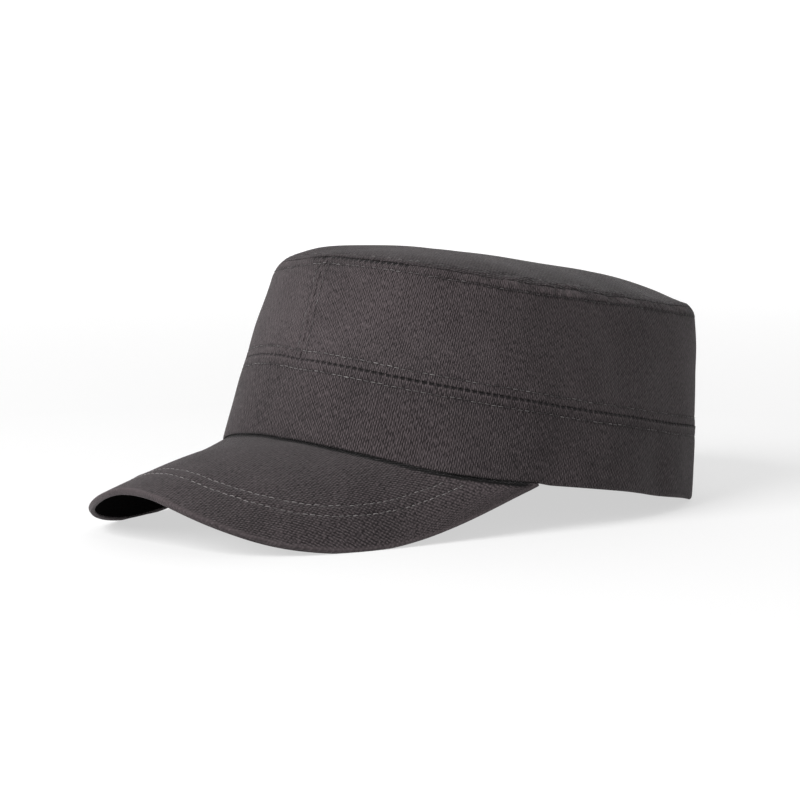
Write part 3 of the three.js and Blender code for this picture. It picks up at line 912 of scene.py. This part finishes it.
s = np.linspace(-UPPER_END, UPPER_END, UPPER_COLUMNS)[None, :]
out, back = spread(0, 1, 1 / 88), spread(0, 1, 1 / 34)
points, flat, from_edge, depth = peak_layer(s, [
    ([1.0], [TONGUE], [0.0]),
    (1 - out, 0.8 * out, 0.0),
    (0.0, 0.8 * (1 - sine[1:]), 0.8 * (1 - cosine[1:])),
    (0.0, 0.0, [1.1, 1.5]),
    (0.0, 0.55 * (1 - cosine), 1.9 + 0.55 * sine),
    (0.0, [0.9, 1.25], LIP_DEPTH),
    (0.0, LIP - 0.25 * cosine, LIP_DEPTH - 0.3 * sine),
    (back, LIP * (1 - back), PEAK_CLOTH),
    ([1.0], [TONGUE], [PEAK_CLOTH]),
], peak_relief)
steps = np.diff(flat, axis=1, prepend=flat[:, :1])
from_middle = np.cumsum(np.hypot(steps[..., 0], steps[..., 2]), axis=1)
from_middle -= from_middle[:, [UPPER_COLUMNS // 2]]
weave = np.stack([from_middle, flat[..., 1] * 1.05 + depth], -1) / 1000
to_rim = np.clip(peak_span(s) - from_edge, 0, None)
marks = {
    # painted shadow on the peak's root where it runs under the hem
    "painted_shade": 1.8 * bell(to_rim, 0.6) * step(peak_span(s), 1, 4),
    # painted highlight along the edge's upper corner, lighter within a few millimetres of the edge,
    # and painted light towards the peak's left end
    "wear_and_painted_light": 1.5 * bell(from_edge - 0.7, 0.6) * (depth < 1.0) + 0.35 * bell(from_edge, 6.0)
    + 1.05 * step(s, 0.45, 0.85),
    "smooth": bell(np.clip(from_edge - 0.4, 0, None), 1.0) * (from_edge < 3),
}
peak_upper = cloth_piece("peak_upper_cloth", stand(points), weave, marks, ring=False, caps=True)
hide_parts("peak_upper")

s = np.linspace(-UNDER_END, UNDER_END, UNDER_COLUMNS)[None, :]
full = 0.1 + 0.9 * step(UNDER_END - np.abs(s), 0, UNDER_THIN)
top, bottom = PEAK_CLOTH + PIECE_GAP, PEAK_DEPTH - UNDER_GAP
lip, half, across = LIP + UNDER_LIP, (bottom - top) / 2, spread(0, 1, 1 / 40)
points, flat, from_edge, depth = peak_layer(s, [
    ([1.0], [TONGUE], [top]),
    (1 - across[:-1], lip * across[:-1], top),
    (0.0, lip - 0.5 * sine, top + half * (1 - cosine)),
    (0.0, lip - 0.5 * cosine[1:], bottom - half * (1 - sine[1:])),
    (across[1:], lip * (1 - across[1:]), bottom),
    ([1.0], [TONGUE], [bottom]),
], peak_waves, top, full)
weave = np.stack([flat[..., 0], flat[..., 1] + depth], -1) / 1000
marks = {"wear_and_painted_light": bell(from_edge - LIP, 1.0)}
peak_under = cloth_piece("peak_under_cloth", stand(points), weave, marks, ring=False, caps=True)
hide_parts("peak_under")

# %% [markdown]
# Stitches
#
# A stitch is a short length of thread that comes out of the cloth, lies on it and goes back
# in. One curve with a bevel could make each of them, but a thousand curves are slow. Here all
# stitches of a row are one mesh: rings of six points along each stitch, wide in its middle and
# drawn in at both ends, worked out for the whole row at once.

# %% Rows of stitches
RINGS, SIDES = 6, 6
THREAD, PEAK_THREAD, TONE_SPREAD = 0.30, 0.32, 0.20
LAY = np.linspace(-1, 1, RINGS)


def stitches(name, rows, thread, seed):
    """One mesh of many stitches; a row is (centre line [stitch, ring, xyz], normal, tone).
    Each stitch sways and hops a little from its line and has a tone of its own."""
    centre = np.concatenate([row[0] for row in rows])
    normal = np.concatenate([row[1] for row in rows])
    tone = np.concatenate([np.broadcast_to(row[2], len(row[0])) for row in rows])
    rng = np.random.default_rng(seed)
    ahead = unit(np.gradient(centre, axis=1))
    across = unit(np.cross(normal, ahead))
    up = np.cross(ahead, across)
    sway = 0.10 * rng.normal(size=(len(centre), 1, 1)) * across
    hop = (0.02 + 0.05 * rng.normal(size=(len(centre), 1, 1))) * up
    centre = centre + sway + hop * (1 - LAY**2)[None, :, None]
    turn = np.arange(SIDES) * TURN / SIDES
    radius = thread / 2 * (1 - 0.6 * LAY**6)[None, :, None, None]
    ring = np.cos(turn)[:, None] * across[:, :, None] + 0.8 * np.sin(turn)[:, None] * up[:, :, None]
    points = (centre[:, :, None] + radius * ring).reshape(-1, 3)
    start = np.arange(len(centre))[:, None, None] * RINGS * SIDES
    i, j = np.meshgrid(np.arange(RINGS - 1) * SIDES, np.arange(SIDES), indexing="ij")
    k = (j + 1) % SIDES
    quads = start + np.stack([i + j, i + SIDES + j, i + SIDES + k, i + k], -1).reshape(1, -1, 4)
    cap = np.arange(SIDES)
    ends = start[..., 0, None] + np.stack([cap, RINGS * SIDES - 1 - cap])[None]
    faces = quads.reshape(-1, 4).tolist() + ends.reshape(-1, SIDES).tolist()
    mesh = bpy.data.meshes.new(name)
    mesh.from_pydata(stand(points).tolist(), [], faces)
    store(mesh, "tone", np.repeat(tone + TONE_SPREAD * rng.normal(size=len(tone)), RINGS * SIDES))
    work = bmesh.new()
    work.from_mesh(mesh)
    bmesh.ops.recalc_face_normals(work, faces=work.faces)
    work.to_mesh(mesh)
    work.free()
    piece = add_object(name, mesh)
    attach(piece, "root")
    print(name, "has", len(centre), "stitches and", len(mesh.polygons), "faces")


def places(start, end):
    """Where stitches lie along a row: each fills 0.9 of the way between two holes."""
    middle = (np.arange(math.ceil(start / STITCH), math.floor(end / STITCH)) + 0.5) * STITCH
    return middle[:, None] + LAY[None, :] * STITCH / 2 * 0.9


def painted_light_tone(theta, low, high):
    """A stitch's tone: painted light makes the thread stand out most near the front, on the wearer's
    left.
    """
    return low + (high - low) * bell(np.degrees(theta).mean(1) - 19, 17)


def laid(face, normal, relief, tone):
    """A row on a face: the thread lies 0.10 mm above the cloth and dives in at both ends."""
    return face + normal * (relief + 0.10 - 0.30 * LAY**6)[..., None], normal, tone


def wall_row(away, tones, level, relief):
    """A row round the wall, at a level given as a function of theta and millimetres from it."""
    theta = np.interp(places(around[0], around[-1]), around, angles)
    length = level(theta) + away
    face = wall_face(theta, length)
    lift = relief(theta, length, face[..., 0])
    return laid(face, wall_out(theta, length), lift, painted_light_tone(theta, *tones))


def middle_row(x, tone, back):
    """A row up the wall beside the front or the back seam, at x millimetres from it."""
    middle = math.pi if back else 0.0
    low, high = (float(f(np.array([middle]))[0]) for f in (seam_length, joint_length))
    length = places(low + 1, high - 1)
    share = length / CROWN_HEIGHT
    theta = theta_at(x, share) * math.copysign(1, x)
    theta = math.copysign(math.pi, x) - theta if back else theta
    lift = side_relief(theta, length, 0 * length + x)
    return laid(wall_face(theta, length), wall_out(theta, length), lift, tone)


def top_row(tones):
    """The row on the top panel, inside its seam."""
    theta = np.interp(places(around[0], around[-1]), around, angles)
    inward = ROW_TOP + 0 * theta
    face = top_face(theta, inward)
    lift = top_relief(theta, inward, face)
    return laid(face, top_normal(theta, inward), lift, painted_light_tone(theta, *tones))


def peak_stitch_row(inner, tone):
    """One of the peak's two rows, from where it leaves the rim on one side to the other."""
    reach = fine_s[peak_span(fine_s) > peak_row(fine_s, inner) + 1.5]
    ends = np.interp([reach[0], reach[-1]], fine_s, row_length[inner])
    at = np.interp(places(*ends), row_length[inner], fine_s)
    from_edge = peak_row(at, inner)
    flat = peak_at(at, from_edge)
    up = -unit(peak_down(at, 1 - from_edge / peak_span(at)))
    return laid(flat, up, peak_relief(at, from_edge, flat), tone)


stitches("stitches_band", [
    wall_row(-ROW_BELOW, (0.20, 0.46), seam_length, lambda t, l, x: band_relief(t, l)),
], THREAD, 31)
stitches("stitches_crown", [
    wall_row(ROW_ABOVE, (0.18, 0.46), seam_length, side_relief),
    wall_row(-ROW_TOP, (0.04, 0.36), joint_length, side_relief),
    *[middle_row(x, 0.10, back) for x in (-ROW_FRONT, ROW_FRONT) for back in (False, True)],
], THREAD, 32)
stitches("stitches_top", [top_row((0.15, 0.25))], THREAD, 33)
stitches("stitches_peak", [peak_stitch_row(inner, 0.70) for inner in (0, 1)], PEAK_THREAD, 34)

# %% [markdown]
# Writing materials as sums
#
# A material is a graph of nodes, and wiring it line by line hides the idea. So a small class
# wraps a socket: adding or multiplying two of them adds the Math node that does it. One
# method makes any other node from its type, its settings and its sockets' values.

# %% A socket that can be reckoned with


class Wire:
    """A value on its way through a material. Sums with it become Math nodes."""

    def __init__(self, finish, socket):
        self.finish, self.socket = finish, socket

    def math(self, operation, *values):
        """A Math node on this value and others."""
        return self.finish.math(operation, self, *values)

    def beside(self, out):
        """Another output of the node that this value comes from."""
        return Wire(self.finish, self.socket.node.outputs[out])

    def __add__(self, other):
        return self.math("ADD", other)

    def __sub__(self, other):
        return self.math("SUBTRACT", other)

    def __rsub__(self, other):
        return self.finish.math("SUBTRACT", other, self)

    def __mul__(self, other):
        return self.math("MULTIPLY", other)

    def __truediv__(self, other):
        return self.math("DIVIDE", other)

    __radd__, __rmul__ = __add__, __mul__  # a sum and a product are the same both ways round

    def clamped(self):
        """The value held between 0 and 1."""
        return self.finish.node("ShaderNodeClamp", {}, {0: self})

    def wave(self):
        """Its cosine, moved to run from 0 to 1; one wave for each whole number."""
        return (self * TURN).math("COSINE") * 0.5 + 0.5


class Finish:
    """A material in the making."""

    def __init__(self, name):
        self.material = bpy.data.materials.new(name)
        self.material.use_nodes = True
        self.tree = self.material.node_tree
        self.tree.nodes.clear()

    def node(self, kind, settings, sockets, out=0):
        """Makes a node: its settings first, then its sockets by name or number. It gives back
        one of the node's outputs, or nothing where the node has none."""
        node = self.tree.nodes.new(kind)
        for key, value in settings.items():
            setattr(node, key, value)
        for key, value in sockets.items():
            if isinstance(value, Wire):
                self.tree.links.new(value.socket, node.inputs[key])
            else:
                node.inputs[key].default_value = value
        return Wire(self, node.outputs[out]) if node.outputs else None

    def math(self, operation, *values):
        """A Math node on numbers and wires."""
        return self.node("ShaderNodeMath", {"operation": operation}, dict(enumerate(values)))

    def mark(self, name):
        """A value stored on the mesh, such as painted shade, or wear with painted light, and 0 where
        it has none.
        """
        return self.node("ShaderNodeAttribute", {"attribute_name": name}, {}, "Fac")

    def noise(self, where, scale, detail=2.0):
        """Cloudy values round 0.5, at a scale of spots a metre."""
        return self.node("ShaderNodeTexNoise", {}, {"Vector": where, "Scale": scale, "Detail": detail})

    def mix(self, factor, dark, light):
        """A colour between two colours."""
        return self.node("ShaderNodeMix", {"data_type": "RGBA"}, {0: factor, 6: dark, 7: light}, 2)

    def cloth(self, colour, roughness, height, relief, sheen, sheen_colour, gloss=0.2):
        """The cloth shader itself: rough, with a soft sheen and the weave as its bump."""
        normal = self.node("ShaderNodeBump", {}, {
            "Strength": 0.8, "Distance": relief, "Height": height})
        shader = self.node("ShaderNodeBsdfPrincipled", {}, {
            "Base Color": colour, "Roughness": roughness, "Normal": normal, "Sheen Weight": sheen,
            "Sheen Roughness": 0.45, "Sheen Tint": sheen_colour, "Specular IOR Level": gloss})
        return self.done(shader)

    def done(self, shader):
        """Ends the material with its output and gives it back."""
        self.node("ShaderNodeOutputMaterial", {}, {"Surface": shader})
        return self.material


print("a Wire is a socket, a Finish is a material")

# %% [markdown]
# Cotton twill
#
# In twill the thick threads make slanting ribs, less than a millimetre apart, and each rib is
# broken into short bars where the thin threads cross it. The dye takes unevenly, so the cloth
# is mottled. The folded edges are lighter, partly rubbed and partly a painted highlight; the
# crumples get painted highlights on their ridges and painted shade in their hollows; and the
# seams' ditches, the grooves under the stitches and the peak's root under the hem get painted
# shade. The ribs run nearly upright on the wall and at a slant on the peak. An image would blur
# up close, so waves of the UV map draw the ribs and noise breaks them up.
#
# All these shares are added to one number between 0 and 1, which picks a tone between a dark
# and a light one. Where a mark says that a seam is open, the same cosine that places the
# stitches paints shadow into it between them. In the deepest ditches the painted shade goes on
# to black, as no light comes back there at all. The side panels are painted a little lighter
# than the band and top, to stand in for more light falling on them.

# %% Finishes of cloth and thread
DARK, LIGHT = (0.0125, 0.0099, 0.0106, 1), (0.089, 0.0728, 0.0765, 1)
# the first colour is the black of the deepest painted shade; the second tints the sheen
SHADE_BLACK, LINT = (0.0016, 0.0014, 0.0014, 1), (0.75, 0.72, 0.73, 1)
MEAN_TONE, MEAN_WEAVE = 0.71, 0.93


def twill(name, slant, tone, rib=0.00085, bar=0.00150, dark=DARK, light=LIGHT, relief=0.00030,
          sheen=0.12, gloss=0.2):
    """Cotton twill: ribs at a slant in degrees, a rib and a bar in metres, between two colours."""
    f = Finish(name)
    uv = f.node("ShaderNodeUVMap", {"uv_map": "weave"}, {})
    place = f.node("ShaderNodeTexCoord", {}, {}, "Object")
    wobble = f.noise(uv, 420.0, 1.0) * 0.5
    u = f.node("ShaderNodeSeparateXYZ", {}, {0: uv})
    v = u.beside("Y")
    turn = math.radians(slant)
    over = u * (math.sin(turn) / rib) + v * (-math.cos(turn) / rib) + wobble
    along = u * (math.cos(turn) / bar) + v * (math.sin(turn) / bar)
    ribs, bars = over.wave(), (along + over * 0.5).wave()
    thread = ribs * (bars * 0.7 + 0.3)
    grain = f.noise(f.node("ShaderNodeCombineXYZ", {}, {0: over, 1: along * 0.45}), 2.1, 0.0)
    clouds = f.noise(place, 26.0, 3.0) + f.noise(place, 95.0, 2.0) * 0.6
    heather = f.noise(place, 900.0, 2.0)
    fluff = f.noise(place, 2600.0, 1.0)
    weave = (grain * 1.30 + thread * 0.85 - MEAN_WEAVE) * (1 - f.mark("smooth") * 0.6)
    # painted shadow in an open seam's gaps between its stitches
    painted_stitch_gap_shadow = f.mark("painted_gap_shadow") * ((0.84 - (u / (STITCH / 1000)).wave()) * 5).clamped()
    painted_shade = f.mark("painted_shade") + painted_stitch_gap_shadow
    factor = tone - MEAN_TONE + clouds * 0.45 + heather * 0.24 + fluff * 0.16 + weave
    # wear with painted light makes it lighter, and painted shade makes it darker
    factor = factor + f.mark("wear_and_painted_light") * 0.20 - painted_shade * 0.95
    colour = f.mix(factor.clamped(), dark, light)
    # the deepest painted shade goes on to black
    colour = f.mix((painted_shade * 1.3 - 0.6).clamped(), colour, SHADE_BLACK)
    roughness = 0.80 + f.noise(place, 60.0) * 0.16
    return f.cloth(colour, roughness, weave + fluff * 0.25, relief, sheen, LINT, gloss)


def thread_finish(name, dark, light):
    """Spun thread: its tone, with painted light on the wall and top rows, is stored for each stitch,
    and fine noise roughens it.
    """
    f = Finish(name)
    place = f.node("ShaderNodeTexCoord", {}, {}, "Object")
    fluff = f.noise(place, 3000.0, 1.0)
    colour = f.mix((f.mark("tone") + fluff * 0.3 - 0.15).clamped(), dark, light)
    return f.cloth(colour, 0.7, fluff, 0.00008, 0.1, (0.8, 0.8, 0.8, 1))


finishes = (
    (twill("charcoal_twill", 82, 0.46), ["band_cloth"]),
    # the side panels' tone is painted lighter, to stand in for more light falling on them
    (twill("charcoal_twill_sides_painted_lighter", 82, 0.595), ["side_left_cloth", "side_right_cloth"]),
    (twill("charcoal_twill_top", 78, 0.45), ["top_cloth"]),
    (twill("charcoal_twill_peak", 52, 0.44, bar=0.00130), ["peak_upper_cloth"]),
    # the lining under the peak: near-black colours as painted shade, for the shadow under the peak
    (twill("painted_shade_lining_twill", 60, 0.5, 0.00075, 0.00100, (0.0012, 0.0011, 0.0011, 1),
           (0.0045, 0.0042, 0.0042, 1), 0.00010, sheen=0.0, gloss=0.0), ["peak_under_cloth"]),
    (thread_finish("grey_thread", (0.035, 0.031, 0.032, 1), (0.25, 0.235, 0.235, 1)),
     ["stitches_band", "stitches_crown", "stitches_top", "stitches_peak"]),
)
for finish, pieces in finishes:
    for name in pieces:
        bpy.data.objects[name].data.materials.append(finish)
    print(finish.name, "on", ", ".join(pieces))

# %% [markdown]
# The floor
#
# The cap stands on a plain white sweep: a floor that curves up into a wall, so no horizon
# shows. It faces the camera. A white floor under soft light comes out grey next to its own
# shadows, so it glows by itself, a little more further from the cap.

# %% The sweep
CAMERA_AZIMUTH, CAMERA_ELEVATION = math.radians(43.92), math.radians(6.03)
BEND, REACH, HALF_WIDE, TALL = 1.5, 3.0, 6.0, 5.0
turn = np.linspace(0, math.pi / 2, 24)
away = np.concatenate([[-HALF_WIDE], REACH + BEND * np.sin(turn), [REACH + BEND]])
high = np.concatenate([[0.0], BEND - BEND * np.cos(turn), [TALL]])
side_way = np.array([-HALF_WIDE, HALF_WIDE])
right_way = np.array([math.cos(CAMERA_AZIMUTH), math.sin(CAMERA_AZIMUTH)])
back_way = np.array([-math.sin(CAMERA_AZIMUTH), math.cos(CAMERA_AZIMUTH)])
plan = side_way[None, :, None] * right_way + away[:, None, None] * back_way
grid = np.concatenate([plan, np.broadcast_to(high[:, None, None], plan.shape[:2] + (1,))], -1)
k = np.arange(len(away) - 1) * 2
sweep_mesh = bpy.data.meshes.new("sweep")
strips = np.stack([k, k + 1, k + 3, k + 2], 1)
sweep_mesh.from_pydata(grid.reshape(-1, 3).tolist(), [], strips.tolist())
sweep = add_object("sweep", sweep_mesh)
paper = Finish("white_paper")
from_cap = paper.node("ShaderNodeVectorMath", {"operation": "LENGTH"}, {
    0: paper.node("ShaderNodeTexCoord", {}, {}, "Object")}, "Value")
glow = ((from_cap - 0.4) * 0.5).clamped() * 0.35 + 0.60
paper.done(paper.node("ShaderNodeBsdfPrincipled", {}, {
    "Base Color": (0.35, 0.35, 0.35, 1), "Roughness": 0.9,
    "Emission Color": paper.mix(glow, (0, 0, 0, 1), (1, 1, 1, 1)), "Emission Strength": 1.0}))
sweep_mesh.materials.append(paper.material)
print("sweep of", len(away), "rows")

# %% [markdown]
# Light and camera
#
# A large soft light stands in front of the cap, on the left of the picture, and weaker ones
# fill in from the camera's side and from above. A long lens from far away keeps the cap's
# lines almost parallel, as in the photograph.

# %% Lights and camera
SENSOR, FRAME = 36.0, 800
FOCAL, DISTANCE, ROLL = 2716.4, 1.100, math.radians(0.100)
LOOK_AT, LIT_AT = Vector((-0.01691, 0.01466, 0.04138)), Vector((0, 0, 0.05))


def toward(azimuth, elevation):
    """The way from the cap to a place at an azimuth and an elevation in radians."""
    level = math.cos(elevation)
    return Vector((math.sin(azimuth) * level, -math.cos(azimuth) * level, math.sin(elevation)))


def area_light(name, azimuth, elevation, distance, size, power):
    """A square light that looks at the cap from an azimuth and an elevation in degrees."""
    back = toward(math.radians(azimuth), math.radians(elevation))
    data = bpy.data.lights.new(name, "AREA")
    data.shape, data.size, data.energy = "SQUARE", size, power
    light = bpy.data.objects.new(name, data)
    light.location = back * distance + LIT_AT
    light.rotation_euler = (-back).to_track_quat("-Z", "Y").to_euler()
    bpy.context.scene.collection.objects.link(light)


area_light("key", -3, 32, 1.8, 1.1, 44.5)
area_light("fill", 55, 30, 2.2, 1.4, 2.0)
area_light("overhead", 0, 85, 2.0, 1.8, 2)
world = bpy.data.worlds.new("studio")
world.use_nodes = True
world.node_tree.nodes["Background"].inputs["Color"].default_value = (1, 1, 1, 1)
world.node_tree.nodes["Background"].inputs["Strength"].default_value = 0.20
bpy.context.scene.world = world
bpy.context.scene.view_settings.view_transform = "Standard"

camera_data = bpy.data.cameras.new("camera")
camera_data.sensor_width = SENSOR
camera_data.lens = SENSOR * FOCAL / FRAME
camera_data.clip_start, camera_data.clip_end = 0.05, 50
camera = bpy.data.objects.new("camera", camera_data)
bpy.context.scene.collection.objects.link(camera)
back = toward(CAMERA_AZIMUTH, CAMERA_ELEVATION)
camera.location = LOOK_AT + back * DISTANCE
turn = Matrix.Rotation(ROLL, 3, back) @ back.to_track_quat("Z", "Y").to_matrix()
camera.rotation_euler = turn.to_euler()
bpy.context.scene.camera = camera
print("camera at", [round(v, 3) for v in camera.location])
